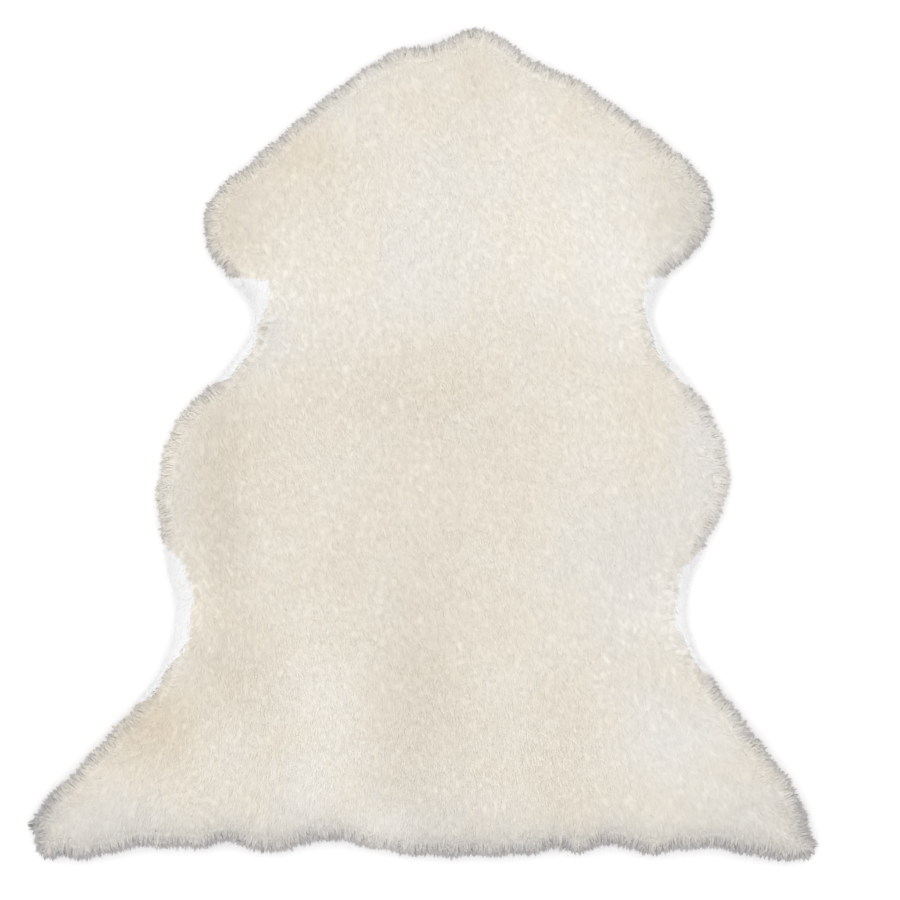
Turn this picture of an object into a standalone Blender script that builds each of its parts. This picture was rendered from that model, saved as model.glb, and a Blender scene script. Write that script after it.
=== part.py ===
"""A sheepskin rug: one tanned pelt with its shorn wool on, lying flat on its skin side.

The neck points to +Y and the hind legs spread to -X and +X. The origin is on the floor under
the middle of the rug's width and length. All sizes are in metres.
"""

import math

import bpy
import numpy as np
from mathutils import Vector
from mathutils.geometry import delaunay_2d_cdt

# The section through the pelt, skin and wool together.
WOOL_HEIGHT = 0.030
WIDEST_HEIGHT = 0.009  # the wool leans out over the skin's edge and reaches furthest here
TOP_ROUNDING = 0.022  # how far in from the edge the wool stands at its full height
UNDER_ROUNDING = 0.010  # how far in from the edge the skin side lies flat on the floor

# The outline at the wool's tips, clockwise from the neck. The two sides are not alike.
OUTLINE = (
    # place, across, along
    ("neck, left of crown", 0.044, 0.473),
    ("neck, right of crown", 0.077, 0.473),
    ("neck, right dip", 0.103, 0.455),
    ("neck, right dip", 0.137, 0.433),
    ("neck, right bump", 0.167, 0.423),
    ("right shoulder slope", 0.212, 0.392),
    ("right shoulder slope", 0.313, 0.312),
    ("right shoulder tip", 0.329, 0.282),
    ("right shoulder tip", 0.327, 0.253),
    ("right shoulder, back", 0.313, 0.223),
    ("right shoulder, back", 0.282, 0.197),
    ("right armpit", 0.263, 0.172),
    ("right armpit", 0.259, 0.144),
    ("right armpit", 0.271, 0.112),
    ("right belly", 0.330, 0.032),
    ("right belly, widest", 0.349, -0.038),
    ("right belly", 0.341, -0.073),
    ("right flank", 0.302, -0.154),
    ("right flank, narrowest", 0.298, -0.191),
    ("right flank", 0.305, -0.226),
    ("right thigh", 0.365, -0.313),
    ("right thigh", 0.401, -0.360),
    ("right hind leg", 0.429, -0.401),
    ("right hind leg", 0.441, -0.436),
    ("right hind leg tip", 0.448, -0.457),
    ("right hind leg corner", 0.438, -0.473),
    ("rump, lock", 0.394, -0.473),
    ("rump, gap", 0.327, -0.461),
    ("rump, lock", 0.248, -0.467),
    ("rump, gap", 0.214, -0.456),
    ("rump, lock", 0.175, -0.467),
    ("rump, gap", 0.150, -0.460),
    ("rump, lock", 0.126, -0.467),
    ("rump, lock", 0.081, -0.470),
    ("rump, lock", -0.022, -0.468),
    ("rump, gap", -0.110, -0.452),
    ("rump, lock", -0.178, -0.466),
    ("rump, gap", -0.224, -0.454),
    ("rump, lock", -0.256, -0.461),
    ("rump", -0.324, -0.460),
    ("left hind leg, lock", -0.392, -0.474),
    ("left hind leg, gap", -0.411, -0.469),
    ("left hind leg, lock", -0.423, -0.475),
    ("left hind leg corner", -0.440, -0.466),
    ("left hind leg tip", -0.448, -0.434),
    ("left hind leg", -0.437, -0.406),
    ("left hind leg", -0.413, -0.384),
    ("left thigh", -0.347, -0.314),
    ("left thigh", -0.316, -0.279),
    ("left flank", -0.293, -0.238),
    ("left flank, narrowest", -0.283, -0.195),
    ("left belly", -0.298, -0.116),
    ("left belly, widest", -0.306, -0.050),
    ("left belly", -0.290, 0.016),
    ("left belly", -0.267, 0.050),
    ("left belly", -0.237, 0.074),
    ("left armpit", -0.192, 0.141),
    ("left armpit", -0.201, 0.165),
    ("left shoulder, back", -0.244, 0.215),
    ("left shoulder tip", -0.253, 0.254),
    ("left shoulder tip", -0.242, 0.285),
    ("left shoulder slope", -0.196, 0.326),
    ("left neck slope", -0.089, 0.416),
    ("neck, left bump", -0.022, 0.455),
    ("neck, left dip", 0.004, 0.455),
)

# Where short belly hair grows instead of wool, the pelt is thinner.
THIN_PLACES = (
    # place, across, along, reach, height
    ("left armpit", -0.195, 0.150, 0.055, 0.017),
    ("right armpit", 0.262, 0.145, 0.045, 0.019),
    ("left flank", -0.286, -0.190, 0.060, 0.017),
    ("right flank", 0.300, -0.190, 0.045, 0.019),
)

# Long, low waves in the height of the wool.
WOOL_WAVES = (
    # name, amplitude, length, direction in degrees
    ("across the back", 0.0009, 0.270, 12.0),
    ("along the back", 0.0008, 0.210, 104.0),
    ("slanting", 0.0006, 0.130, 57.0),
)

# The wool's locks make small scallops all round the edge.
LOCK_WIDTH = 0.048
LOCK_DEPTH = 0.0012

# Mesh spacing.
EDGE_SPACING = 0.012
CURVE_STEPS = 24
TOP_ROWS = (0.003, 0.009, 0.019)
TOP_GRID = 0.028
UNDER_ROWS = (0.003, UNDER_ROUNDING)
UNDER_GRID = 0.060
ROW_TOLERANCE = 0.97
MERGE_DISTANCE = 1e-7
WHOLE_HULL = 0  # the triangulation fills the outline's bays too, and those faces are dropped

# Undyed, lightly cream wool.
WOOL_COLOUR = (0.80, 0.74, 0.65, 1.0)
WOOL_ROUGHNESS = 0.95
SHARP_ANGLE = math.radians(60)


def clear_scene():
    for old in list(bpy.data.objects):
        bpy.data.objects.remove(old, do_unlink=True)


def smooth_curve(corners):
    """A closed centripetal Catmull-Rom curve through the corners, as close points."""
    points = []
    for index in range(len(corners)):
        a, b, c, d = (corners[(index + shift) % len(corners)] for shift in (-1, 0, 1, 2))
        ta = 0.0
        tb = ta + math.sqrt(math.dist(a, b))
        tc = tb + math.sqrt(math.dist(b, c))
        td = tc + math.sqrt(math.dist(c, d))
        for t in np.linspace(tb, tc, CURVE_STEPS, endpoint=False):
            ab = ((tb - t) * a + (t - ta) * b) / (tb - ta)
            bc = ((tc - t) * b + (t - tb) * c) / (tc - tb)
            cd = ((td - t) * c + (t - tc) * d) / (td - tc)
            abc = ((tc - t) * ab + (t - ta) * bc) / (tc - ta)
            bcd = ((td - t) * bc + (t - tb) * cd) / (td - tb)
            points.append(((tc - t) * abc + (t - tb) * bcd) / (tc - tb))
    return np.array(points)


def outward(loop):
    """The outward unit normal at each point of a clockwise loop."""
    along = np.roll(loop, -1, axis=0) - np.roll(loop, 1, axis=0)
    along /= np.linalg.norm(along, axis=1, keepdims=True)
    return np.column_stack([-along[:, 1], along[:, 0]])


def wool_edge():
    """The outline as evenly spaced points, scalloped by the locks and centred on the origin."""
    curve = smooth_curve([np.array(row[1:]) for row in OUTLINE])
    closed = np.vstack([curve, curve[:1]])
    travelled = np.concatenate([[0.0], np.cumsum(np.linalg.norm(np.diff(closed, axis=0), axis=1))])
    length = travelled[-1]
    stops = np.linspace(0.0, length, round(length / EDGE_SPACING), endpoint=False)
    loop = np.column_stack([np.interp(stops, travelled, closed[:, axis]) for axis in (0, 1)])
    locks = round(length / LOCK_WIDTH)
    scallop = LOCK_DEPTH * np.sin(2 * math.pi * locks * stops / length)
    loop += outward(loop) * scallop[:, None]
    return loop - (loop.min(axis=0) + loop.max(axis=0)) / 2


def edge_distance(points, loop):
    """How far each point lies from the loop's nearest side."""
    start = loop[None, :, :]
    side = np.roll(loop, -1, axis=0)[None, :, :] - start
    reach = points[:, None, :] - start
    share = np.clip((reach * side).sum(axis=2) / (side**2).sum(axis=2), 0.0, 1.0)
    return np.linalg.norm(reach - share[:, :, None] * side, axis=2).min(axis=1)


def is_inside(points, loop):
    """Whether a ray from each point crosses the loop an odd number of times."""
    x, y = points[:, None, 0], points[:, None, 1]
    (ax, ay), (bx, by) = loop.T, np.roll(loop, -1, axis=0).T
    crosses = (ay > y) != (by > y)
    rise = np.where(crosses, by - ay, 1.0)
    return ((crosses & (x < ax + (y - ay) * (bx - ax) / rise)).sum(axis=1) % 2).astype(bool)


def triangular_grid(loop, spacing, clearance):
    """Points in staggered rows that fill the loop, clear of its edge."""
    low, high = loop.min(axis=0), loop.max(axis=0)
    rows = []
    row_step = spacing * math.sqrt(3) / 2
    for number, y in enumerate(np.arange(low[1], high[1], row_step)):
        x = np.arange(low[0] + spacing * 0.5 * (number % 2), high[0], spacing)
        rows.append(np.column_stack([x, np.full_like(x, y)]))
    grid = np.vstack(rows)
    return grid[is_inside(grid, loop) & (edge_distance(grid, loop) > clearance)]


def inner_points(loop, insets, spacing):
    """Rows that follow the loop at each inset, then a grid over the rest."""
    kept = np.empty((0, 2))
    for inset in insets:
        row = loop - outward(loop) * inset
        row = row[edge_distance(row, loop) > inset * ROW_TOLERANCE]
        kept = spread_out(kept, row, EDGE_SPACING / 2)
    grid = triangular_grid(loop, spacing, insets[-1] + spacing / 4)
    return spread_out(kept, grid, spacing / 2)


def spread_out(kept, fresh, gap):
    """Adds each fresh point that is at least the gap away from every one already kept."""
    for point in fresh:
        if len(kept) == 0 or np.linalg.norm(kept - point, axis=1).min() >= gap:
            kept = np.vstack([kept, point])
    return kept


def wool_top(points, loop):
    """Height of the wool: full over the back, thin where belly hair grows, rounded at the rim."""
    full = np.full(len(points), WOOL_HEIGHT)
    for _, amplitude, length, direction in WOOL_WAVES:
        heading = np.array([math.cos(math.radians(direction)), math.sin(math.radians(direction))])
        full += amplitude * np.sin(2 * math.pi * (points @ heading) / length)
    for _, across, along, reach, height in THIN_PLACES:
        nearness = np.exp(-((points - (across, along)) ** 2).sum(axis=1) / reach**2)
        full -= (WOOL_HEIGHT - height) * nearness
    share = np.clip(edge_distance(points, loop) / TOP_ROUNDING, 0.0, 1.0)
    return WIDEST_HEIGHT + (full - WIDEST_HEIGHT) * np.sqrt(1 - (1 - share) ** 2)


def skin_under(points, loop):
    """Height of the underside: on the floor, rounded up to the widest line at the rim."""
    share = np.clip(edge_distance(points, loop) / UNDER_ROUNDING, 0.0, 1.0)
    return WIDEST_HEIGHT * (1 - np.sqrt(1 - (1 - share) ** 2))


def triangles_over(loop, inner):
    """Triangles that fill the loop through its inner points, facing up."""
    points = np.vstack([loop, inner])
    flat = [Vector(point) for point in points]
    anticlockwise = list(range(len(loop)))[::-1]
    filled = delaunay_2d_cdt(flat, [], [anticlockwise], WHOLE_HULL, MERGE_DISTANCE, True)
    made_from = np.array([origins[0] for origins in filled[3]])
    faces = made_from[np.array(filled[2])]
    return faces[is_inside(points[faces].mean(axis=1), loop)]


def pelt_mesh():
    """The whole pelt as one closed mesh: a wool side and a skin side that share the widest line."""
    loop = wool_edge()
    top = inner_points(loop, TOP_ROWS, TOP_GRID)
    under = inner_points(loop, UNDER_ROWS, UNDER_GRID)
    rim_vertices = np.column_stack([loop, np.full(len(loop), WIDEST_HEIGHT)])
    top_vertices = np.column_stack([top, wool_top(top, loop)])
    under_vertices = np.column_stack([under, skin_under(under, loop)])
    vertices = np.vstack([rim_vertices, top_vertices, under_vertices])

    wool_side = triangles_over(loop, top)
    skin_side = triangles_over(loop, under)[:, ::-1]
    skin_side = np.where(skin_side < len(loop), skin_side, skin_side + len(top))
    faces = np.vstack([wool_side, skin_side])

    mesh = bpy.data.meshes.new("sheepskin")
    mesh.from_pydata(vertices.tolist(), [], faces.tolist())
    mesh.shade_smooth()
    mesh.set_sharp_from_angle(angle=SHARP_ANGLE)
    return mesh


def wool_material():
    material = bpy.data.materials.new("wool")
    material.use_nodes = True
    shader = material.node_tree.nodes["Principled BSDF"]
    shader.inputs["Base Color"].default_value = WOOL_COLOUR
    shader.inputs["Roughness"].default_value = WOOL_ROUGHNESS
    shader.inputs["Metallic"].default_value = 0.0
    return material


def build():
    clear_scene()
    mesh = pelt_mesh()
    mesh.materials.append(wool_material())
    pelt = bpy.data.objects.new("sheepskin", mesh)
    bpy.context.scene.collection.objects.link(pelt)


build()
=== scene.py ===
"""The sheepskin rug's looks: small tufts of wool over a dense under-wool and a leather side.

Everything is in metres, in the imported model's frame: +Z up, +Y towards the neck.
"""

import math

import bpy
import numpy as np
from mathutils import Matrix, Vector
from mathutils.bvhtree import BVHTree
from mathutils.geometry import delaunay_2d_cdt


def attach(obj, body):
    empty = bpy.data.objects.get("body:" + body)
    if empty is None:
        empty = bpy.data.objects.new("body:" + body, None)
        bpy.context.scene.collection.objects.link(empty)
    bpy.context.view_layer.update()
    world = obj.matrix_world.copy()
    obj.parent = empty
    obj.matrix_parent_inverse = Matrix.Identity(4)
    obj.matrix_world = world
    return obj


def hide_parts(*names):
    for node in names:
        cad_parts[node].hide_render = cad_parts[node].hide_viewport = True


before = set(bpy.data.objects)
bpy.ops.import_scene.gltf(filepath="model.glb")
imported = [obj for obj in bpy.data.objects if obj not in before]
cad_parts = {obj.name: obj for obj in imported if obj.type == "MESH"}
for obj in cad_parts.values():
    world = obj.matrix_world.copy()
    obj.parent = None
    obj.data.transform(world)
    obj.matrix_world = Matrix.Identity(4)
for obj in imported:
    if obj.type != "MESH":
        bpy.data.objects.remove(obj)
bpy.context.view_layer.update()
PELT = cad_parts["sheepskin"]
RANDOM = np.random.default_rng(20)

# Spreads such as STRAY are standard deviations. Pairs such as TUFT_LENGTHS are the least and the
# greatest value: shares of the size above them, or metres where no size is above them.

# The wool's staples, the small bunches that its fibres make.
STAPLE_SPACING = 0.0043
STAPLE_JITTER = 0.32  # how far a staple is moved out of its row, as a share of the spacing
STAPLE_INSET = 0.0015  # the least distance from a staple to the edge
STAPLE_SPREAD = 0.0030  # how far a staple's tufts stand from its middle at the root
STAPLE_GATHER = 0.92  # how much of that spread is left at the tips
STAPLE_UNEVENNESS = 0.0001
TUFTS_PER_STAPLE = 5
TUFT_LENGTH = 0.0095
TUFT_LENGTHS = (0.85, 1.12)
TUFT_RADIUS = 0.00085
TUFT_RADII = (0.8, 1.2)
TUFT_UNEVENNESS = 0.00025
STRAY = (0.11, 0.11, 0.04)  # how far a tuft strays from its staple's direction
HEADING_STRAY = 0.20
STAPLE_SHADE = 0.6  # how far a staple shares one shade, against 1 for each tuft's own

# How the wool lies: towards the rump all over, and outwards and down over the rounded rim.
NAP_SLANT = 0.45
LEG_SPLAY = 2.0
LEG_START = -0.20
LEG_FADE = 0.20
CROWN_REACH = 0.022  # the upper side is rounded as far in from the edge as this
LEAST_CROWN_SHARE = 0.03  # the rim is never taken as quite upright
EDGE_REACH = 0.040
EDGE_PULL = 1.6
ROOT_REACH = 0.0088  # how far a root is from its tip in the plan
ROOT_DEPTH = 0.0024
LEAST_UPWARD = 0.3  # steeper wool than this is taken as this steep when a staple is spread over it

# How grey the rim is painted, as painted shade where the wool turns down from the light, and how far in
# that fades: everywhere, and what the hind edge adds.
RIM_SHADE_STRENGTH = 0.95
RIM_SHADE_REACH = 0.0095
RIM_SHADE_FALLOFF = 1.4
HIND_SHADE_STRENGTH = 0.30
HIND_SHADE_REACH = 0.0065
HIND_START = -0.385
HIND_FADE = 0.030
HIND_LENGTH = 0.40  # how much longer the locks of the hind edge are
# How much of the rim's painted shade each tuft takes, at random.
TUFT_RIM_SHADE_RANGE = (0.65, 1.30)
STRIP_RIM_SHADE = 0.35  # how much of that grey is left beside belly hair

# The wool right beside a strip of belly hair: how ragged its border is, and how much darker it is
# painted, as painted shade.
STRIP_RAGGED = 0.0030
STRIP_PAINTED_SHADE = 0.75
STRIP_REACH = 0.010

# The longer wool round the edge, which grows in three layers of locks.
FRINGE_LAYERS = (
    # layer, tip inset, tip height above the widest line, length, greyness
    ("upper", 0.0008, 0.0040, 0.0150, 1.00),
    ("middle", -0.0008, 0.0010, 0.0120, 1.00),
    ("lower", 0.0002, -0.0035, 0.0120, 1.10),
)
LOCK_SPACING = 0.0050
LOCK_FIBRES = 16
LOCK_WIDTH = 0.0064
LOCK_TAPER = 0.6  # a lock's width at the tips, as a share of its width at the roots
LOCK_POINT = 0.0036  # how much shorter the outer fibres of a lock are than its middle ones
LOCK_RAGGED = 0.0012
LOCK_LIFT = 0.0008
LOCK_SWEEP = 0.2  # how far the locks are combed towards the rump
LOCK_STRAY = 0.15
LOCK_BEND = 0.42  # where a lock of the upper layer bends over the rim, as a share of its length
LOCK_RISE = 0.0007
LOCK_ROOT_DEPTH = 0.0045
LOCK_STEEPNESS = 0.5  # the most that a lower lock drops from root to tip, as a share of its length
# How much the rim's painted shade varies from lock to lock.
LOCK_RIM_SHADE_SPREAD = 0.15
LOCK_SHADE = 2.0
FRINGE_TURN = 0.0040  # the fringe is shaded as if it were at least this far in from the edge
FIBRE_RADIUS = 0.00085
FIBRE_RADII = (0.75, 1.2)
FIBRE_LENGTHS = (0.75, 1.1)
FIBRE_RAGGED = 0.0005
FIBRE_LIFT = 0.0006
BEND_LIFT = 0.0003
# How much of the rim's painted shade each fibre takes, at random.
FIBRE_RIM_SHADE_RANGE = (0.60, 1.30)

# One dirty lock that sticks out of the left leg.
DARK_LOCK_PLACE = (-0.4485, -0.4330)
DARK_LOCK_SIZE = 0.0045
DARK_LOCK_REACH = 0.0045
DARK_LOCK_SHADE = 38.0

# The short white hair on the surface of its strips and, in rows, round their rim.
HAIR_SPACING = 0.0014
HAIR_JITTER = 0.4
HAIR_OVERLAP = 0.0005
HAIR_RAGGED = 0.0018
HAIR_INSET = 0.0005
HAIR_LIFT = 0.0002
HAIR_RIM_SPACING = 0.0009
HAIR_RIM_HEIGHTS = (0.003, 0.014)
HAIR_RIM_INSET = 0.0028
HAIR_LEAN = 0.7
HAIR_SWEEP = 0.75
HAIR_STRAY = 0.30
HAIR_LENGTHS = (0.006, 0.010)
HAIR_ROOT_DEPTH = 0.0016
HAIR_RISE = 0.0005
HAIR_TIP_DEPTH = 0.0004
HAIR_RADIUS = 0.0007
HAIR_TURN = 0.0210  # the hair is shaded as if it were at least this far in from the edge
# Painted shade at the hair's edge: the share of the rim's grey in it, and below, how much less white it
# is there.
HAIR_RIM_SHADE = 0.25
HAIR_SHADE = -1.0
HAIR_SHADE_SPREAD = 2.0
HAIR_EDGE_SHADE = 0.05  # how much less white the hair is at the edge
HAIR_EDGE_SHADE_REACH = 0.012

# The under-wool, a closed slab that fills the space below the tufts.
UNDERWOOL_DEPTH = 0.0020
UNDERWOOL_RIM_DEPTH = 0.0012  # how much deeper it is at the edge
UNDERWOOL_RIM_REACH = 0.012
UNDERWOOL_RINGS = (
    # how far in from the edge, beside wool and beside belly hair
    (0.0038, 0.0008),
    (0.0047, 0.0019),
    (0.0059, 0.0034),
    (0.0075, 0.0054),
    (0.0095, 0.0078),
    (0.0120, 0.0108),
    (0.0150, 0.0148),
    (0.0190, 0.0190),
)
UNDERWOOL_RING_SPACING = 0.0035
UNDERWOOL_GRID = 0.0050
UNDERWOOL_GRID_GAP = 0.7  # from the last ring to the grid, as a share of the grid's spacing
UNDERWOOL_JITTER = 0.15
UNDERWOOL_UNEVENNESS = 0.0002
UNDERWOOL_GAP = 0.0005  # how far it stays above the leather
UNDER_SIDE_STEP = 5  # the flat lower side has one point for each so many of the upper side's grid
# The under-wool is painted paler than the tufts, as painted light against the shade that the tufts cast
# on it.
UNDERWOOL_PAINTED_LIGHT = 1.0
UNDERWOOL_WHITE = 0.8
WHITE_OVERLAP = 0.002
WHITE_FADE = 0.003
LEAST_SLAB_SHARE = 0.01

# The leather.
HIDE_INSET = 0.0140
HIDE_THICKNESS = 0.0018
HIDE_EDGE_SPACING = 0.006
HIDE_GRID = 0.012
HIDE_GRID_GAP = 0.003
HIDE_JITTER = 0.2

# How a fibre is made.
TWIST = 0.12
FLATNESS = 0.5
BEND_RADIUS = 0.8  # its radius at a bend, as a share of its radius at the root
SIDE_SHADING = 0.15  # how far its own roundness shows in its shading
LOWEST_POINT = 0.0012
MAP_MARGIN = 0.01
CELL_MARGIN = 0.1

# How points are placed and measured.
EDGE_JITTER = 0.3
INSET_TOLERANCE = 0.94
CROWDING = 0.4  # the least gap between two points of an inset loop, as a share of its spacing
MERGE_DISTANCE = 1e-7
WHOLE_HULL = 0  # the triangulation fills the outline's bays too, and those faces are dropped
TINY = 1e-9
ON_THE_EDGE = 1e-6
RAY_START = 0.01
CHUNK = 4000  # the most points that are measured at a time


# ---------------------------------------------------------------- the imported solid

def welded_mesh(node):
    """The node's vertices with doubles merged, and its triangles as indices into them."""
    mesh = node.data
    mesh.calc_loop_triangles()
    points = np.empty(len(mesh.vertices) * 3, np.float32)
    mesh.vertices.foreach_get("co", points)
    faces = np.empty(len(mesh.loop_triangles) * 3, np.int32)
    mesh.loop_triangles.foreach_get("vertices", faces)
    rounded = np.round(points.reshape(-1, 3).astype(float), 6)
    points, index = np.unique(rounded, axis=0, return_inverse=True)
    return points, index.reshape(-1)[faces].reshape(-1, 3)


def widest_line(points, faces):
    """The closed line round the solid where its upper side meets its lower side."""
    corner = points[faces]
    upward = np.cross(corner[:, 1] - corner[:, 0], corner[:, 2] - corner[:, 0])[:, 2] > 0
    followers = {}
    upper_edges = set()
    for face in faces[upward]:
        for start, end in zip(face, np.roll(face, -1)):
            upper_edges.add((int(start), int(end)))
    for start, end in upper_edges:
        if (end, start) not in upper_edges:
            followers[start] = end
    first = min(followers)
    line = [first]
    while followers[line[-1]] != first:
        line.append(followers[line[-1]])
    return points[line]


SOLID_POINTS, SOLID_FACES = welded_mesh(PELT)
SOLID_TREE = BVHTree.FromPolygons(SOLID_POINTS.tolist(), SOLID_FACES.tolist())
SOLID_TOP = float(SOLID_POINTS[:, 2].max())
RIM = widest_line(SOLID_POINTS, SOLID_FACES)
RIM_HEIGHT = float(np.median(RIM[:, 2]))
CROWN_DROP = SOLID_TOP - RIM_HEIGHT
EDGE = RIM[:, :2]
EDGE_SIDES = np.roll(EDGE, -1, axis=0) - EDGE
EDGE_TRAVELLED = np.concatenate([[0.0], np.cumsum(np.linalg.norm(EDGE_SIDES, axis=1))])


def in_chunks(points):
    return np.array_split(points, max(1, len(points) // CHUNK))


def nearest_edge(points):
    """Distance to the edge, and the outward direction there."""
    lengths = np.linalg.norm(EDGE_SIDES, axis=1)
    distance, outward = [], []
    for chunk in in_chunks(points):
        reach = chunk[:, None, :] - EDGE[None, :, :]
        share = np.clip((reach * EDGE_SIDES).sum(axis=2) / lengths**2, 0.0, 1.0)
        gap = share[:, :, None] * EDGE_SIDES - reach
        away = np.linalg.norm(gap, axis=2)
        best = away.argmin(axis=1)
        row = np.arange(len(chunk))
        distance.append(away[row, best])
        outward.append(gap[row, best])
    distance = np.concatenate(distance)
    outward = np.concatenate(outward) / np.maximum(distance, ON_THE_EDGE)[:, None]
    return distance, outward


def is_inside(points, loop):
    """Whether a ray from each point crosses the loop an odd number of times."""
    (ax, ay), (bx, by) = loop.T, np.roll(loop, -1, axis=0).T
    inside = []
    for chunk in in_chunks(points):
        x, y = chunk[:, :1], chunk[:, 1:]
        crosses = (ay > y) != (by > y)
        rise = np.where(crosses, by - ay, 1.0)
        meets = x < ax + (y - ay) * (bx - ax) / rise
        inside.append((crosses & meets).sum(axis=1) % 2 == 1)
    return np.concatenate(inside)


def top_height(points):
    """The solid's upper height over each point of the plan."""
    heights = []
    for x, y in points:
        above = Vector((x, y, SOLID_TOP + RAY_START))
        hit = SOLID_TREE.ray_cast(above, Vector((0, 0, -1)))[0]
        heights.append(RIM_HEIGHT if hit is None else hit.z)
    return np.array(heights)


def staggered_grid(spacing, jitter):
    """Points in staggered rows over the rug's plan, each moved a little at random."""
    low, high = EDGE.min(axis=0), EDGE.max(axis=0)
    rows = []
    for number, y in enumerate(np.arange(low[1], high[1], spacing * math.sqrt(3) / 2)):
        x = np.arange(low[0] + spacing * 0.5 * (number % 2), high[0], spacing)
        rows.append(np.column_stack([x, np.full_like(x, y)]))
    grid = np.vstack(rows)
    grid += RANDOM.uniform(-jitter, jitter, grid.shape) * spacing
    return grid[is_inside(grid, EDGE)]


def edge_normals(loop):
    """The outward unit normal at each point of an anticlockwise loop."""
    along = np.roll(loop, -1, axis=0) - np.roll(loop, 1, axis=0)
    along = unit(along)
    return np.column_stack([along[:, 1], -along[:, 0]])


def edge_stops(spacing):
    """Evenly spaced distances along the edge."""
    length = EDGE_TRAVELLED[-1]
    return np.linspace(0.0, length, round(length / spacing), endpoint=False)


def at_stops(stops, values):
    """The edge's values, one row for each of its points, read at distances along it."""
    closed = np.vstack([values, values[:1]])
    return np.column_stack([np.interp(stops, EDGE_TRAVELLED, column) for column in closed.T])


def along_edge(spacing):
    """Nearly evenly spaced points on the edge, with the outward direction at each."""
    stops = edge_stops(spacing)
    stops = stops + RANDOM.uniform(-EDGE_JITTER, EDGE_JITTER, len(stops)) * spacing
    stops %= EDGE_TRAVELLED[-1]
    return at_stops(stops, EDGE), unit(at_stops(stops, edge_normals(EDGE)))


def inset_loop(inset, hair_inset, spacing):
    """The edge moved inwards, without the points that a tight bend would crowd together.

    It is moved by the first distance beside wool, and by the second beside belly hair.
    """
    loop = at_stops(edge_stops(spacing), EDGE)
    inset = np.where(hair_width(loop) > 0, hair_inset, inset)
    loop = loop - edge_normals(loop) * inset[:, None]
    distance = nearest_edge(loop)[0]
    loop = loop[is_inside(loop, EDGE) & (distance > inset * INSET_TOLERANCE)]
    kept = [loop[0]]
    gap = spacing * CROWDING
    for point in loop[1:]:
        if math.dist(point, kept[-1]) > gap and math.dist(point, kept[0]) > gap:
            kept.append(point)
    return np.array(kept)


# ---------------------------------------------------------------- mesh making

def unit(vectors):
    return vectors / np.maximum(np.linalg.norm(vectors, axis=-1, keepdims=True), TINY)


def new_piece(name, vertices, faces, values):
    """A mesh object with one number per vertex for each named value."""
    mesh = bpy.data.meshes.new(name)
    mesh.from_pydata(vertices, [], faces)
    for value_name, numbers in values.items():
        attribute = mesh.attributes.new(value_name, "FLOAT", "POINT")
        attribute.data.foreach_set("value", np.asarray(numbers, np.float32).ravel())
    mesh.shade_smooth()
    piece = bpy.data.objects.new(name, mesh)
    bpy.context.scene.collection.objects.link(piece)
    return piece


def add_map(piece, u, v):
    """A texture map named OFBake, from one u and one v for each corner of each face."""
    layer = piece.data.uv_layers.new(name="OFBake")
    layer.data.foreach_set("uv", np.stack([u, v], axis=2).astype(np.float32).ravel())


def three_corners(centres, axis, radius, turn):
    """A flattened triangle's corners round each centre, square to the axis, flat side up."""
    upper = unit(np.array([0.0, 0.0, 1.0]) - axis * axis[:, 2:])
    side = np.cross(upper, axis)
    corners = []
    for start in (30, 150, 270):
        angle = turn + math.radians(start)
        offset = np.cos(angle)[:, None] * side + np.sin(angle)[:, None] * upper * FLATNESS
        corners.append(centres + offset * np.asarray(radius).reshape(-1, 1))
    return np.stack(corners, axis=1)


# The faces of a fibre with one point above its three base corners, and of one with a bend between.
STRAIGHT = np.array([(0, 1, 3), (1, 2, 3), (2, 0, 3), (2, 1, 0)])
BENT = np.array([
    (0, 1, 4), (0, 4, 3), (1, 2, 5), (1, 5, 4), (2, 0, 3), (2, 3, 5),
    (3, 4, 6), (4, 5, 6), (5, 3, 6), (2, 1, 0),
])


def fibres(name, line, radius, values, facing):
    """Closed, three-sided, pointed fibres along lines of two or three points each.

    They are shaded as the wool's surface, whose direction at each fibre, or at each point of its
    line, is facing.
    """
    count = len(line)
    turn = RANDOM.normal(0, TWIST, count)
    base = three_corners(line[:, 0], unit(line[:, 1] - line[:, 0]), radius, turn)
    if line.shape[1] == 2:
        pattern, along, station = STRAIGHT, [0, 0, 0, 1], [0, 0, 0, 1]
        corners = np.concatenate([base, line[:, 1:2]], axis=1)
    else:
        pattern, along, station = BENT, [0, 0, 0, 0.5, 0.5, 0.5, 1], [0, 0, 0, 1, 1, 1, 2]
        across = unit(line[:, 2] - line[:, 0])
        middle = three_corners(line[:, 1], across, radius * BEND_RADIUS, turn)
        corners = np.concatenate([base, middle, line[:, 2:3]], axis=1)
    each = corners.shape[1]
    faces = (pattern[None] + (np.arange(count) * each)[:, None, None]).reshape(-1, 3)
    numbers = {}
    for key, value in values.items():
        spread = value[:, station] if value.ndim == 2 else np.repeat(value, each)
        numbers[key] = spread.ravel()
    numbers["along"] = np.tile(along, count)
    piece = new_piece(name, corners.reshape(-1, 3), faces, numbers)
    sideways = corners - np.take_along_axis(line, np.array(station)[None, :, None], axis=1)
    around = facing[:, station] if facing.ndim == 3 else facing[:, None]
    shaded = unit(around + unit(sideways) * SIDE_SHADING)[:, pattern]
    first, second, third = np.moveaxis(corners[:, pattern], 2, 0)
    outside = unit(np.cross(second - first, third - first))[:, :, None]
    # A face that looks away from that direction is shaded with its mirror image in the face.
    behind = np.minimum((shaded * outside).sum(axis=-1, keepdims=True), 0.0)
    shaded = shaded - 2.0 * behind * outside
    piece.data.normals_split_custom_set(shaded.reshape(-1, 3))
    add_fibre_map(piece, count, pattern, along)
    return piece


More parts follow.
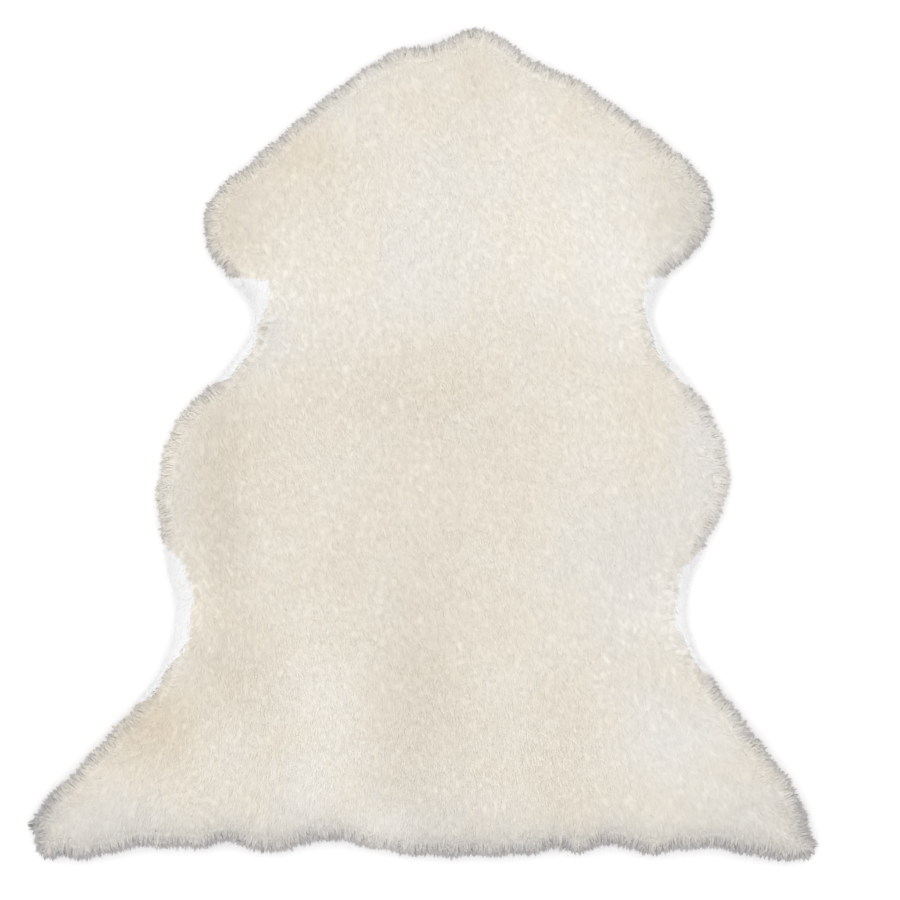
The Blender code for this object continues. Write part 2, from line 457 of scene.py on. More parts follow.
def add_fibre_map(piece, count, pattern, along):
    """A texture map with a small square of its own for each fibre, root below and tip above."""
    squares = math.ceil(math.sqrt(count))
    number = np.arange(count)
    left, low = (number % squares) / squares, (number // squares) / squares
    u = np.tile([CELL_MARGIN, 1 - CELL_MARGIN, 0.5], len(pattern))
    v = CELL_MARGIN + (1 - 2 * CELL_MARGIN) * np.asarray(along, float)[pattern].ravel()
    add_map(piece, left[:, None] + u[None] / squares, low[:, None] + v[None] / squares)


def filled_faces(loop, inner):
    """Triangles that fill the loop through its inner points, facing up."""
    flat = [Vector(point) for point in np.vstack([loop, inner])]
    border = list(range(len(loop)))
    filled = delaunay_2d_cdt(flat, [], [border], WHOLE_HULL, MERGE_DISTANCE, True)
    made_from = np.array([origins[0] for origins in filled[3]])
    faces = made_from[np.array(filled[2])]
    return faces[is_inside(np.array(flat)[faces].mean(axis=1), loop)]


def slab(name, loop, height, upper, upper_height, lower, lower_height, values_at=None):
    """A closed solid over a loop: an upper and a lower skin that share the loop at one height."""
    vertices = np.vstack([
        np.column_stack([loop, np.full(len(loop), height)]),
        np.column_stack([upper, upper_height]),
        np.column_stack([lower, np.full(len(lower), lower_height)]),
    ])
    top = filled_faces(loop, upper)
    bottom = filled_faces(loop, lower)[:, ::-1]
    bottom = np.where(bottom < len(loop), bottom, bottom + len(upper))
    faces = np.vstack([top, bottom])
    piece = new_piece(name, vertices, faces, values_at(vertices[:, :2]) if values_at else {})
    low, span = EDGE.min(axis=0), float(np.ptp(EDGE, axis=0).max())
    plan = ((vertices[:, :2] - low) / span)[faces]
    # The upper side takes the map's left half, and the lower side the right half.
    half = np.where(np.arange(len(faces)) < len(top), 0.0, 0.5)[:, None]
    u = plan[:, :, 0] * (0.5 - 2 * MAP_MARGIN) + MAP_MARGIN + half
    v = plan[:, :, 1] * (1 - 2 * MAP_MARGIN) + MAP_MARGIN
    add_map(piece, u, v)
    return piece


# ---------------------------------------------------------------- the wool's colour by place

# Where the wool is a little warmer, cooler, darker or paler than elsewhere.
PATCHES = (
    # place, across, along, half width, half length, warmth, lightness
    ("neck", 0.060, 0.400, 0.035, 0.045, 0.10, -0.35),
    ("left shoulder slope", -0.130, 0.325, 0.060, 0.035, 0.70, -0.35),
    ("left shoulder tip", -0.215, 0.250, 0.040, 0.050, 0.45, -0.75),
    ("withers", 0.080, 0.260, 0.170, 0.120, -0.35, 0.40),
    ("right of the withers", 0.170, 0.270, 0.055, 0.090, 0.00, 0.20),
    ("left of the withers", -0.050, 0.180, 0.080, 0.060, -0.30, 0.15),
    ("right shoulder tip", 0.300, 0.250, 0.040, 0.070, 0.05, -1.00),
    ("behind left shoulder", -0.160, 0.110, 0.045, 0.045, -0.20, -0.15),
    ("behind right shoulder", 0.230, 0.200, 0.060, 0.080, -0.25, 0.40),
    ("middle of the back", -0.015, 0.030, 0.120, 0.080, 0.25, -0.35),
    ("left armpit", -0.172, 0.132, 0.022, 0.030, -0.75, -0.60),
    ("left ribs", -0.235, 0.000, 0.040, 0.090, 0.40, -0.70),
    ("left loin", -0.230, -0.130, 0.035, 0.080, 0.60, -0.95),
    ("left flank", -0.230, -0.250, 0.050, 0.045, 0.35, -0.70),
    ("left of the spine", -0.070, -0.130, 0.080, 0.090, 0.25, -0.20),
    ("right loin", 0.240, -0.150, 0.060, 0.110, -0.60, -0.25),
    ("right of the spine", 0.180, -0.100, 0.050, 0.100, -0.30, 0.10),
    ("spine at the rump", -0.010, -0.300, 0.060, 0.150, 0.20, -0.80),
    ("left rump streak", -0.115, -0.350, 0.045, 0.110, -0.25, 0.60),
    ("left rump", -0.180, -0.320, 0.050, 0.060, 0.10, -0.35),
    ("left thigh", -0.310, -0.320, 0.060, 0.050, 1.20, -0.75),
    ("right rump", 0.160, -0.330, 0.040, 0.100, 0.15, -0.20),
    ("right thigh", 0.290, -0.330, 0.060, 0.055, -0.55, 0.25),
    ("left hind leg", -0.360, -0.425, 0.060, 0.040, -0.30, -0.35),
    ("right hind leg", 0.370, -0.425, 0.060, 0.050, -0.30, -0.45),
    ("left belly edge", -0.275, -0.060, 0.025, 0.060, -0.40, -0.45),
    ("hind edge", 0.000, -0.455, 0.450, 0.050, -0.30, -0.55),
    ("hind bay", -0.050, -0.435, 0.035, 0.022, -0.30, 1.10),
    ("right belly edge", 0.320, -0.020, 0.030, 0.080, -0.70, 0.00),
)


def near_to(points, across, along, half_width, half_length):
    """1 in the middle of a place, fading to 0 round it."""
    reach = (points - (across, along)) / (half_width, half_length)
    return np.exp(-(reach**2).sum(axis=1))


def patch_values(points):
    """The warmth and lightness that the patches give each point of the plan."""
    warmth = np.zeros(len(points))
    lightness = np.zeros(len(points))
    for _, *place, warm, light in PATCHES:
        nearness = near_to(points, *place)
        warmth += warm * nearness
        lightness += light * nearness
    return warmth, lightness


# Short white belly hair, which grows instead of wool in strips along four stretches of the edge.
HAIR_STRIPS = (
    # place, side, (along, width there) at each station
    ("left armpit", -1, (
        (0.1895, 0.0), (0.1855, 0.030), (0.163, 0.018), (0.148, 0.0085), (0.139, 0.005),
        (0.137, 0.002), (0.129, 0.002), (0.126, 0.005), (0.114, 0.007), (0.100, 0.009),
        (0.084, 0.0085), (0.074, 0.007), (0.071, 0.0),
    )),
    ("right armpit", 1, (
        (0.190, 0.0), (0.187, 0.014), (0.170, 0.010), (0.150, 0.0055), (0.142, 0.004),
        (0.130, 0.0045), (0.115, 0.006), (0.100, 0.006), (0.090, 0.007), (0.081, 0.008),
        (0.070, 0.006), (0.067, 0.0),
    )),
    ("left flank", -1, (
        (-0.112, 0.0), (-0.120, 0.005), (-0.128, 0.012), (-0.138, 0.019), (-0.165, 0.020),
        (-0.190, 0.0165), (-0.212, 0.0145), (-0.220, 0.016), (-0.230, 0.011), (-0.238, 0.014),
        (-0.246, 0.008), (-0.252, 0.010), (-0.258, 0.003), (-0.266, 0.004), (-0.275, 0.006),
        (-0.290, 0.006), (-0.293, 0.0),
    )),
    ("right flank", 1, (
        (-0.118, 0.0), (-0.128, 0.006), (-0.145, 0.011), (-0.168, 0.010), (-0.197, 0.011),
        (-0.212, 0.009), (-0.222, 0.006), (-0.238, 0.005), (-0.256, 0.004), (-0.262, 0.0),
    )),
)


def hair_width(points):
    """How wide the strip of belly hair is beside each point, and 0 where there is none."""
    width = np.zeros(len(points))
    for _, side, stations in HAIR_STRIPS:
        y, across = np.array(stations)[::-1].T
        beside = points[:, 0] * side > 0
        here = np.interp(points[:, 1], y, across, left=0.0, right=0.0)
        width = np.where(beside, np.maximum(width, here), width)
    return width


# Where the rim's painted shade is stronger or weaker than elsewhere.
RIM_SHADE_PLACES = (
    # place, across, along, half width, half length, change
    ("left belly", -0.285, -0.020, 0.060, 0.090, -0.57),
    ("right belly", 0.330, -0.020, 0.060, 0.100, -0.57),
    ("left leg slope", -0.330, -0.300, 0.080, 0.050, -0.40),
    ("left leg tip", -0.440, -0.430, 0.035, 0.050, 0.25),
    ("hind bay", -0.045, -0.445, 0.035, 0.030, -0.50),
)


def hind_share(points):
    """How far each point belongs to the hind edge."""
    return np.clip((HIND_START - points[:, 1]) / HIND_FADE, 0, 1)


def rim_share(distance, points):
    """How much painted shade greys the wool at each distance in from the edge near each point."""
    hind = hind_share(points)
    change = np.ones(len(points))
    for _, *place, amount in RIM_SHADE_PLACES:
        change += amount * near_to(points, *place)
    strength = (RIM_SHADE_STRENGTH + hind * HIND_SHADE_STRENGTH) * change
    reach = RIM_SHADE_REACH + hind * HIND_SHADE_REACH
    if distance.ndim == 2:
        strength, reach = strength[:, None], reach[:, None]
    fall = (np.maximum(distance, 0) / reach) ** RIM_SHADE_FALLOFF
    return np.clip(strength * np.exp(-fall), 0, 1)


# ---------------------------------------------------------------- materials

CREAM = (0.801, 0.761, 0.682, 1.0)
COOL_CREAM = (0.781, 0.773, 0.762, 1.0)
TAN = (0.777, 0.679, 0.531, 1.0)
# The grey of the rim's painted shade.
RIM_SHADE_GREY = (0.425, 0.411, 0.420, 1.0)
HAIR_WHITE = (0.930, 0.928, 0.935, 1.0)
TAN_PER_WARMTH = 0.55
COOL_PER_WARMTH = 0.9
CLOUD_WARMTH = 1.4  # how far the warmth drifts in soft clouds
MOTTLE = 0.04  # how far the brightness varies in small blotches
LIGHT_PER_LIGHTNESS = 0.09
LIGHT_PER_SHADE = 0.012
# The roots are painted paler, as painted light against the shade that the tips cast on them.
WOOL_ROOT_LIGHT = 1.05  # the roots are a little paler than the tips, because tips shade them
HAIR_ROOT_LIGHT = 1.0

SUEDE = (0.70, 0.61, 0.50, 1.0)
SUEDE_STAIN = (0.58, 0.48, 0.37, 1.0)
SUEDE_NAP = (0.78, 0.70, 0.60, 1.0)
NAP_SHARE = 0.35


def node(tree, kind, **settings):
    made = tree.nodes.new(kind)
    for key, value in settings.items():
        setattr(made, key, value)
    return made


def read_value(tree, name):
    return node(tree, "ShaderNodeAttribute", attribute_name=name).outputs["Fac"]


def noise(tree, scale, detail=2.0, roughness=0.5):
    texture = node(tree, "ShaderNodeTexNoise")
    texture.inputs["Scale"].default_value = scale
    texture.inputs["Detail"].default_value = detail
    texture.inputs["Roughness"].default_value = roughness
    place = node(tree, "ShaderNodeTexCoord").outputs["Object"]
    tree.links.new(place, texture.inputs["Vector"])
    return texture.outputs["Fac"]


def math_node(tree, operation, first, second, third=None, clamp=False):
    made = node(tree, "ShaderNodeMath", operation=operation, use_clamp=clamp)
    for socket, value in zip(made.inputs, (first, second, third)):
        if value is None:
            continue
        if isinstance(value, (int, float)):
            socket.default_value = value
        else:
            tree.links.new(value, socket)
    return made.outputs["Value"]


def mix_colours(tree, share, first, second, blend="MIX"):
    made = node(tree, "ShaderNodeMix", data_type="RGBA", blend_type=blend)
    share_input, first_input, second_input = (made.inputs[index] for index in (0, 6, 7))
    for socket, value in ((share_input, share), (first_input, first), (second_input, second)):
        if isinstance(value, (int, float, tuple)):
            socket.default_value = value
        else:
            tree.links.new(value, socket)
    return made.outputs[2]


def add_bump(tree, shader, height, strength, distance):
    bump = node(tree, "ShaderNodeBump")
    bump.inputs["Strength"].default_value = strength
    bump.inputs["Distance"].default_value = distance
    tree.links.new(height, bump.inputs["Height"])
    tree.links.new(bump.outputs["Normal"], shader.inputs["Normal"])


def new_material(name):
    material = bpy.data.materials.new(name)
    material.use_nodes = True
    tree = material.node_tree
    return material, tree, tree.nodes["Principled BSDF"]


def wool_colour(tree):
    """Cream with warmer and cooler clouds and patches, a grey rim of painted shade, and white belly
    hair.
    """
    clouds = math_node(tree, "MULTIPLY_ADD", noise(tree, 13.0, 3.0), CLOUD_WARMTH, -CLOUD_WARMTH / 2)
    warmth = math_node(tree, "ADD", read_value(tree, "warmth"), clouds)
    warm_share = math_node(tree, "MULTIPLY", warmth, TAN_PER_WARMTH, clamp=True)
    cool_share = math_node(tree, "MULTIPLY", warmth, -COOL_PER_WARMTH, clamp=True)
    colour = mix_colours(tree, warm_share, CREAM, TAN)
    colour = mix_colours(tree, cool_share, colour, COOL_CREAM)
    # The rim's painted shade.
    colour = mix_colours(tree, read_value(tree, "rim"), colour, RIM_SHADE_GREY)
    return mix_colours(tree, read_value(tree, "white"), colour, HAIR_WHITE)


def wool_light(tree, root_light):
    """What the colour is multiplied by: patches, blotches, each tuft's shade, and root to tip, where
    the roots are painted paler as painted light against the tips' shade.
    """
    patches = math_node(
        tree, "MULTIPLY_ADD", read_value(tree, "lightness"), LIGHT_PER_LIGHTNESS, 1.0 - MOTTLE / 2
    )
    blotches = math_node(tree, "MULTIPLY_ADD", noise(tree, 60.0), MOTTLE, patches)
    light = math_node(tree, "MULTIPLY_ADD", read_value(tree, "shade"), LIGHT_PER_SHADE, blotches)
    depth = math_node(tree, "MULTIPLY_ADD", read_value(tree, "along"), 1.0 - root_light, root_light)
    return math_node(tree, "MULTIPLY", light, depth)


def wool_material(name, root_light):
    material, tree, shader = new_material(name)
    light = wool_light(tree, root_light)
    grey = node(tree, "ShaderNodeCombineXYZ")
    for socket in grey.inputs:
        tree.links.new(light, socket)
    colour = mix_colours(tree, 1.0, wool_colour(tree), grey.outputs["Vector"], "MULTIPLY")
    tree.links.new(colour, shader.inputs["Base Color"])
    rough = math_node(tree, "MULTIPLY_ADD", noise(tree, 220.0), 0.2, 0.8)
    tree.links.new(rough, shader.inputs["Roughness"])
    add_bump(tree, shader, noise(tree, 700.0), strength=0.3, distance=0.0004)
    shader.inputs["Specular IOR Level"].default_value = 0.2
    shader.inputs["Sheen Weight"].default_value = 0.15
    shader.inputs["Sheen Roughness"].default_value = 0.5
    return material


def hide_material():
    """Undyed suede with faint stains and a paler brushed nap."""
    material, tree, shader = new_material("hide")
    colour = mix_colours(tree, noise(tree, 7.0, 4.0, 0.6), SUEDE, SUEDE_STAIN)
    grain = noise(tree, 380.0, 4.0, 0.7)
    nap = math_node(tree, "MULTIPLY", grain, NAP_SHARE)
    colour = mix_colours(tree, nap, colour, SUEDE_NAP)
    tree.links.new(colour, shader.inputs["Base Color"])
    rough = math_node(tree, "MULTIPLY_ADD", grain, 0.15, 0.82)
    tree.links.new(rough, shader.inputs["Roughness"])
    add_bump(tree, shader, grain, strength=0.5, distance=0.0006)
    shader.inputs["Specular IOR Level"].default_value = 0.3
    shader.inputs["Sheen Weight"].default_value = 0.2
    return material


# ---------------------------------------------------------------- the top wool

def wool_heading(points, distance, outward):
    """The way that the wool lies in the plan: towards the rump, or outwards near the edge."""
    leg = np.clip((LEG_START - points[:, 1]) / LEG_FADE, 0, 1)
    sideways = NAP_SLANT * (1 - leg) + points[:, 0] * LEG_SPLAY * leg
    nap = unit(np.column_stack([sideways, np.full(len(points), -1.0)]))
    nearness = np.clip(1 - distance / EDGE_REACH, 0, 1)[:, None]
    return unit(nap * (1 - nearness) + outward * nearness * EDGE_PULL)


def surface_normal(distance, outward):
    """The wool's outer surface direction: up on the back, turning outwards round the rim."""
    share = np.clip(distance / CROWN_REACH, LEAST_CROWN_SHARE, 1.0)
    slope = CROWN_DROP / CROWN_REACH * (1 - share) / np.sqrt(1 - (1 - share) ** 2)
    return unit(np.column_stack([outward * slope[:, None], np.ones(len(share))]))


def wool_direction(place, height, heading):
    """The way that the wool points, from a root sunk in the wool to a tip on its surface."""
    root = place - heading * ROOT_REACH
    root_height = np.minimum(top_height(root) - ROOT_DEPTH, height + ROOT_REACH)
    return unit(np.column_stack([place - root, height - root_height]))


def staples():
    """The wool's staples as a table: place, height, direction and colour values."""
    place = staggered_grid(STAPLE_SPACING, STAPLE_JITTER)
    distance, outward = nearest_edge(place)
    border = hair_width(place) + RANDOM.normal(0, STRIP_RAGGED, len(place))
    keep = (distance > STAPLE_INSET) & (distance > border)
    place, distance, outward = place[keep], distance[keep], outward[keep]
    height = top_height(place)
    heading = wool_heading(place, distance, outward)
    heading = unit(heading + RANDOM.normal(0, HEADING_STRAY, place.shape))
    warmth, lightness = patch_values(place)
    width = hair_width(place)
    beyond = np.maximum(distance - width, 0) / STRIP_REACH
    # Painted shade: the wool beside belly hair is darkened.
    lightness -= np.where(width > 0, STRIP_PAINTED_SHADE * np.exp(-(beyond**2)), 0.0)
    return {
        "place": np.column_stack([place, height]),
        "direction": wool_direction(place, height, heading),
        "facing": surface_normal(distance, outward),
        "outward": outward,
        "distance": distance,
        # Beside belly hair the rim's painted shade is weaker.
        "rim_shade_kept": np.where(width > 0, STRIP_RIM_SHADE, 1.0),
        "warmth": warmth,
        "lightness": lightness,
        "shade": RANDOM.normal(0, 1.0, len(place)),
    }


def tuft_lines(table):
    """Root and tip of each tuft, gathered towards its staple's tip, and its colour values."""
    count = len(table["place"])
    repeat = {key: np.repeat(value, TUFTS_PER_STAPLE, axis=0) for key, value in table.items()}
    total = count * TUFTS_PER_STAPLE
    angle = RANDOM.uniform(0, 2 * math.pi, total)
    reach = STAPLE_SPREAD * np.sqrt(RANDOM.uniform(0, 1, total))
    offset = np.column_stack([np.cos(angle) * reach, np.sin(angle) * reach, np.zeros(total)])
    facing = repeat["facing"]
    sideways = (offset[:, :2] * facing[:, :2]).sum(axis=1)
    offset[:, 2] = -sideways / np.maximum(facing[:, 2], LEAST_UPWARD)
    length = TUFT_LENGTH * RANDOM.uniform(*TUFT_LENGTHS, total)
    direction = unit(repeat["direction"] + RANDOM.normal(0, 1, (total, 3)) * STRAY)
    unevenness = np.repeat(RANDOM.normal(0, STAPLE_UNEVENNESS, count), TUFTS_PER_STAPLE)
    tip = repeat["place"] + offset * STAPLE_GATHER
    tip[:, 2] += unevenness + RANDOM.normal(0, TUFT_UNEVENNESS, total)
    root = tip + offset * (1 - STAPLE_GATHER) - direction * length[:, None]
    inwards = ((root - tip)[:, :2] * -repeat["outward"]).sum(axis=1)
    tip_distance = repeat["distance"] - (offset[:, :2] * repeat["outward"]).sum(axis=1)
    values = {key: repeat[key] for key in ("warmth", "lightness")}
    values["shade"] = repeat["shade"] * STAPLE_SHADE + RANDOM.normal(0, 1.0, total)
    rim = rim_share(np.column_stack([tip_distance + inwards, tip_distance]), tip[:, :2])
    # Each tuft takes a random share of the rim's painted shade.
    uneven = repeat["rim_shade_kept"] * RANDOM.uniform(*TUFT_RIM_SHADE_RANGE, total)
    values["rim"] = np.clip(rim * uneven[:, None], 0, 1)
    return np.stack([root, tip], axis=1), values, facing


# The top wool is split into pieces from the neck to the rump.
WOOL_PIECES = (
    # name, lowest y
    ("wool_shoulders", 0.165),
    ("wool_ribs", -0.060),
    ("wool_loin", -0.275),
    ("wool_rump", -1.0),
)


def top_wool(material):
    table = staples()
    above = math.inf
    pieces = []
    for name, lowest in WOOL_PIECES:
        here = (table["place"][:, 1] > lowest) & (table["place"][:, 1] <= above)
        above = lowest
        lines, values, facing = tuft_lines({key: value[here] for key, value in table.items()})
        radius = TUFT_RADIUS * RANDOM.uniform(*TUFT_RADII, len(lines))
        piece = fibres(name, lines, radius, values, facing)
        piece.data.materials.append(material)
        pieces.append(piece)
    return pieces


# ---------------------------------------------------------------- the edge

def lock_lines(edge, outward, tip_inset, tip_rise, length, bent):
    """Each fibre's root and tip, or root, bend and tip, for the locks at points of the edge.

    It gives the distance in from the edge of those points too.
    """
    count = len(edge)
    side = np.column_stack([-outward[:, 1], outward[:, 0]])
    stray = side * RANDOM.normal(0, LOCK_STRAY, (count, 1))
    heading = unit(outward + stray + np.array([0.0, -LOCK_SWEEP]))
    inset = tip_inset + RANDOM.normal(0, LOCK_RAGGED, count)
    lift = RIM_HEIGHT + tip_rise + RANDOM.normal(0, LOCK_LIFT, count)

    def each(values):
        return np.repeat(values, LOCK_FIBRES, axis=0)

    total = count * LOCK_FIBRES
    fan = RANDOM.uniform(-1, 1, total)
    across = each(side) * (fan * LOCK_WIDTH / 2)[:, None]
    shorter = LOCK_POINT * fan**2 + np.abs(RANDOM.normal(0, FIBRE_RAGGED, total))
    tip = each(edge - outward * inset[:, None]) - each(heading) * shorter[:, None]
    tip = tip + across * LOCK_TAPER
    tip_height = each(lift) + RANDOM.normal(0, FIBRE_LIFT, total)
    reach = each(length * (1 + HIND_LENGTH * hind_share(edge)))
    reach = reach * RANDOM.uniform(*FIBRE_LENGTHS, total)
    root = tip - each(heading) * reach[:, None] + across * (1 - LOCK_TAPER)
    inwards = each(inset) + shorter
    if bent:
        bend = tip + (root - tip) * LOCK_BEND
        bend_height = top_height(bend) + LOCK_RISE + RANDOM.normal(0, BEND_LIFT, total)
        line = [(root, top_height(root) - ROOT_DEPTH), (bend, bend_height), (tip, tip_height)]
        inwards = [inwards + reach, inwards + reach * LOCK_BEND, inwards]
    else:
        highest = tip_height + length * LOCK_STEEPNESS
        root_height = np.minimum(top_height(root) - LOCK_ROOT_DEPTH, highest)
        line = [(root, root_height), (tip, tip_height)]
        inwards = [inwards + reach, inwards]
    lines = np.stack([np.column_stack(station) for station in line], axis=1)
    lines[:, :, 2] = np.maximum(lines[:, :, 2], LOWEST_POINT)
    return lines, np.column_stack(inwards)


def fringe(material):
    """Longer locks in layers that lean out over the edge of the hide, with uneven ends."""
    pieces = []
    for layer, tip_inset, tip_rise, length, greyness in FRINGE_LAYERS:
        edge, outward = along_edge(LOCK_SPACING)
        woolly = hair_width(edge) == 0
        edge, outward = edge[woolly], outward[woolly]
        lines, inwards = lock_lines(edge, outward, tip_inset, tip_rise, length, layer == "upper")
        values = dict(zip(("warmth", "lightness"), patch_values(edge)))
        values["shade"] = RANDOM.normal(0, LOCK_SHADE, len(edge))
        # Each lock, and each fibre in it, takes a random share of the rim's painted shade.
        rim_shade_scale = greyness * RANDOM.normal(1.0, LOCK_RIM_SHADE_SPREAD, len(edge))
        values = {key: np.repeat(value, LOCK_FIBRES) for key, value in values.items()}
        rim_shade_scale = np.repeat(rim_shade_scale, LOCK_FIBRES) * RANDOM.uniform(*FIBRE_RIM_SHADE_RANGE, len(lines))
        rim = rim_share(inwards, np.repeat(edge, LOCK_FIBRES, axis=0))
        values["rim"] = np.clip(rim * rim_shade_scale[:, None], 0, 1)
        values["shade"] = values["shade"] + RANDOM.normal(0, LOCK_SHADE, len(lines))
        outward = np.repeat(outward, LOCK_FIBRES, axis=0)
        dirty = near_to(lines[:, -1, :2], *DARK_LOCK_PLACE, DARK_LOCK_SIZE, DARK_LOCK_SIZE)
        lines[:, -1, :2] += DARK_LOCK_REACH * outward * dirty[:, None]
        values["shade"] -= DARK_LOCK_SHADE * dirty
        facing = [surface_normal(np.maximum(inset, FRINGE_TURN), outward) for inset in inwards.T]
        radius = FIBRE_RADIUS * RANDOM.uniform(*FIBRE_RADII, len(lines))
        piece = fibres("wool_edge_" + layer, lines, radius, values, np.stack(facing, axis=1))
        piece.data.materials.append(material)
        pieces.append(piece)
    return pieces


def belly_hair(material):
    """Short white hair that lies nearly flat along the armpits and flanks."""
    spots = staggered_grid(HAIR_SPACING, HAIR_JITTER)
    distance, outward = nearest_edge(spots)
    width = hair_width(spots)
    border = width + RANDOM.normal(HAIR_OVERLAP, HAIR_RAGGED, len(spots))
    keep = (width > 0) & (distance < border) & (distance > HAIR_INSET)
    spots, distance, outward = spots[keep], distance[keep], outward[keep]
    surface = top_height(spots) + HAIR_LIFT

    edge, edge_outward = along_edge(HAIR_RIM_SPACING)
    hairy = hair_width(edge) > 0
    edge, edge_outward = edge[hairy], edge_outward[hairy]
    rim_surface = RANDOM.uniform(*HAIR_RIM_HEIGHTS, len(edge))
    spots = np.vstack([spots, edge - edge_outward * HAIR_RIM_INSET])
    distance = np.concatenate([distance, np.full(len(edge), HAIR_RIM_INSET)])
    outward = np.vstack([outward, edge_outward])
    surface = np.concatenate([surface, rim_surface])

    count = len(spots)
    stray = RANDOM.normal(0, HAIR_STRAY, (count, 2))
    heading = unit(outward * HAIR_LEAN + np.array([0.0, -HAIR_SWEEP]) + stray)
    half = heading * (RANDOM.uniform(*HAIR_LENGTHS, count) / 2)[:, None]
    lines = np.stack([
        np.column_stack([spots - half, surface - HAIR_ROOT_DEPTH]),
        np.column_stack([spots, surface + RANDOM.uniform(0, HAIR_RISE, count)]),
        np.column_stack([spots + half, surface - HAIR_TIP_DEPTH]),
    ], axis=1)
    lines[:, :, 2] = np.maximum(lines[:, :, 2], LOWEST_POINT)
    values = {
        "shade": RANDOM.normal(HAIR_SHADE, HAIR_SHADE_SPREAD, count),
        # Painted shade: the hair is less white near the edge, with a share of the rim's grey.
        "white": 1 - HAIR_EDGE_SHADE * np.clip(1 - distance / HAIR_EDGE_SHADE_REACH, 0, 1),
        "rim": np.full(count, HAIR_RIM_SHADE),
    }
    facing = surface_normal(np.maximum(distance, HAIR_TURN), outward)
    piece = fibres("belly_hair", lines, np.full(count, HAIR_RADIUS), values, facing)
    piece.data.materials.append(material)
    return piece


# ---------------------------------------------------------------- the under-wool and the leather

def slab_values(points):
    """The colour values of the under-wool at points of the plan."""
    warmth, lightness = patch_values(points)
    distance = nearest_edge(points)[0]
    width = hair_width(points)
    white = np.clip((width + WHITE_OVERLAP - distance) / WHITE_FADE, 0, 1)
    return {
        "warmth": warmth,
        "lightness": lightness,
        # Painted light: the under-wool is paler.
        "shade": np.full(len(points), UNDERWOOL_PAINTED_LIGHT),
        "rim": rim_share(distance, points) * np.where(width > 0, STRIP_RIM_SHADE, 1.0),
        "white": white * UNDERWOOL_WHITE,
        "along": np.full(len(points), 0.5),
    }


def underwool_height(points, distance):
    """The height of the under-wool: the solid's upper side, moved inwards by the tufts' depth."""
    top = top_height(points)
    nearness = np.clip(1 - distance / UNDERWOOL_RIM_REACH, 0, 1)
    depth = UNDERWOOL_DEPTH + UNDERWOOL_RIM_DEPTH * nearness
    outer = np.clip(distance / CROWN_REACH, LEAST_SLAB_SHARE, 1)
    inner = np.clip((distance - depth) / (CROWN_REACH - depth), 0.0, 1)
    ratio = np.sqrt(1 - (1 - inner) ** 2) / np.sqrt(1 - (1 - outer) ** 2)
    return RIM_HEIGHT + (top - RIM_HEIGHT) * ratio * (CROWN_DROP - depth) / CROWN_DROP


def underwool(material):
    """The dense wool that the tufts stand in."""
    loop, *rings = [inset_loop(*insets, UNDERWOOL_RING_SPACING) for insets in UNDERWOOL_RINGS]
    grid = staggered_grid(UNDERWOOL_GRID, UNDERWOOL_JITTER)
    last_ring = UNDERWOOL_RINGS[-1][0]
    grid = grid[nearest_edge(grid)[0] > last_ring + UNDERWOOL_GRID * UNDERWOOL_GRID_GAP]
    upper = np.vstack(rings + [grid])
    height = underwool_height(upper, nearest_edge(upper)[0])
    height = height + RANDOM.normal(0, UNDERWOOL_UNEVENNESS, len(upper))
    lower = grid[::UNDER_SIDE_STEP]
    piece = slab(
        "underwool", loop, RIM_HEIGHT, upper, height, lower, HIDE_THICKNESS + UNDERWOOL_GAP, slab_values
    )
    piece.data.materials.append(material)
    return piece


def hide():
    """The leather: a thin sheet a little smaller than the wool's outline, rough side down."""
    loop = inset_loop(HIDE_INSET, HIDE_INSET, HIDE_EDGE_SPACING)
    inner = staggered_grid(HIDE_GRID, HIDE_JITTER)
    inner = inner[nearest_edge(inner)[0] > HIDE_INSET + HIDE_GRID_GAP]
    thickness = np.full(len(inner), HIDE_THICKNESS)
    piece = slab("hide", loop, HIDE_THICKNESS / 2, inner, thickness, inner, 0.0)
    piece.data.materials.append(hide_material())
    return piece


# ---------------------------------------------------------------- the studio

CAMERA_PLACE = (0.029, -0.0057, 3.0)
CAMERA_LENS = 105.0
SENSOR_WIDTH = 36.0
WHITE = (1.0, 1.0, 1.0, 1.0)
WORLD_STRENGTH = 1.10
SOFTBOX_PLACE = (-0.3, 0.4, 2.2)
SOFTBOX_SIZE = 1.6
SOFTBOX_POWER = 4.0
FLOOR_REACH = 6.0
FLOOR_DROP = 0.0005
FLOOR_COLOUR = (0.96, 0.96, 0.96, 1.0)
FLOOR_GLOW = 0.07


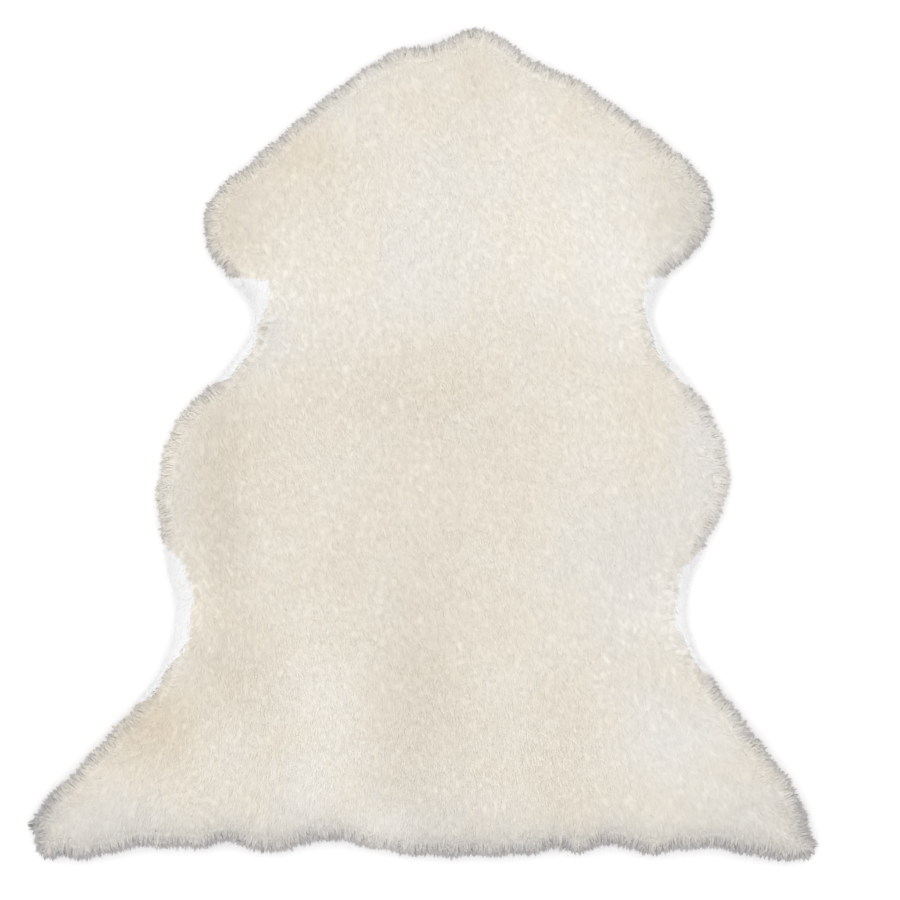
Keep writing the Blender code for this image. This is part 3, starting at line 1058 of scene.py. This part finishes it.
def camera():
    """Straight above the rug, neck up in the picture."""
    data = bpy.data.cameras.new("camera")
    data.lens = CAMERA_LENS
    data.sensor_width = SENSOR_WIDTH
    made = bpy.data.objects.new("camera", data)
    made.location = CAMERA_PLACE
    bpy.context.scene.collection.objects.link(made)
    bpy.context.scene.camera = made


def lighting():
    world = bpy.data.worlds.new("studio")
    world.use_nodes = True
    background = world.node_tree.nodes["Background"]
    background.inputs["Color"].default_value = WHITE
    background.inputs["Strength"].default_value = WORLD_STRENGTH
    bpy.context.scene.world = world
    bpy.context.scene.view_settings.view_transform = "Standard"

    light = bpy.data.lights.new("softbox", "AREA")
    light.shape = "DISK"
    light.size = SOFTBOX_SIZE
    light.energy = SOFTBOX_POWER
    lamp = bpy.data.objects.new("softbox", light)
    lamp.location = SOFTBOX_PLACE
    lamp.rotation_euler = (-Vector(SOFTBOX_PLACE)).to_track_quat("-Z", "Y").to_euler()
    bpy.context.scene.collection.objects.link(lamp)


def paper_floor():
    """A white sheet that glows faintly, so that it stays white under the rug's soft shadow."""
    mesh = bpy.data.meshes.new("floor")
    corners = [(x * FLOOR_REACH, y * FLOOR_REACH, 0) for x, y in ((-1, -1), (1, -1), (1, 1), (-1, 1))]
    mesh.from_pydata(corners, [], [(0, 1, 2, 3)])
    floor = bpy.data.objects.new("floor", mesh)
    floor.location.z = -FLOOR_DROP
    bpy.context.scene.collection.objects.link(floor)
    material, _, shader = new_material("floor")
    shader.inputs["Base Color"].default_value = FLOOR_COLOUR
    shader.inputs["Roughness"].default_value = 0.9
    shader.inputs["Specular IOR Level"].default_value = 0.0
    shader.inputs["Emission Color"].default_value = WHITE
    shader.inputs["Emission Strength"].default_value = FLOOR_GLOW
    mesh.materials.append(material)


camera()
lighting()
paper_floor()
wool = wool_material("wool", WOOL_ROOT_LIGHT)
wool_pieces = top_wool(wool) + fringe(wool)
hair = belly_hair(wool_material("belly_hair", HAIR_ROOT_LIGHT))
base = underwool(wool)
leather = hide()

for piece in wool_pieces + [base, hair, leather]:
    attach(piece, "root")
    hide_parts("sheepskin")
